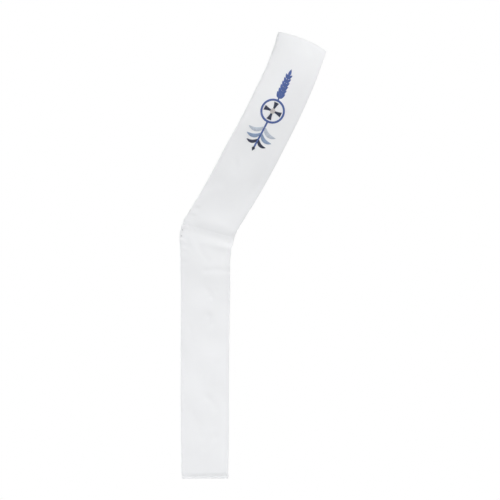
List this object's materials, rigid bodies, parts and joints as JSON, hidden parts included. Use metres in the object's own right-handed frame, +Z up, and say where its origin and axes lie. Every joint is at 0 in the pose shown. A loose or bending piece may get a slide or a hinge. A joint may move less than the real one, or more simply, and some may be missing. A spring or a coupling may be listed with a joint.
{
  "type": "clerical stole",
  "caption": "Long narrow white cloth band worn over one shoulder, crossing the body and hanging from the opposite hip, front and back, linked there by a tape.",
  "frame": {"origin": "underside of the cloth at the middle of the shoulder's crest, where the wearer's left shoulder carries it", "axes": "+Z up, -Y the way the wearer faces, +X towards the wearer's left"},
  "size_m": [0.3897, 0.2506, 1.1818],
  "materials": {
    "stole_cloth": "smooth white woven cloth with a soft sheen",
    "link_tape": "flat woven white tape"
  },
  "bodies": {
    "root": {"front_upper": "stole_cloth", "front_lower": "stole_cloth", "back_upper": "stole_cloth", "back_lower": "stole_cloth", "side_link": "link_tape"}
  },
  "joints": []
}
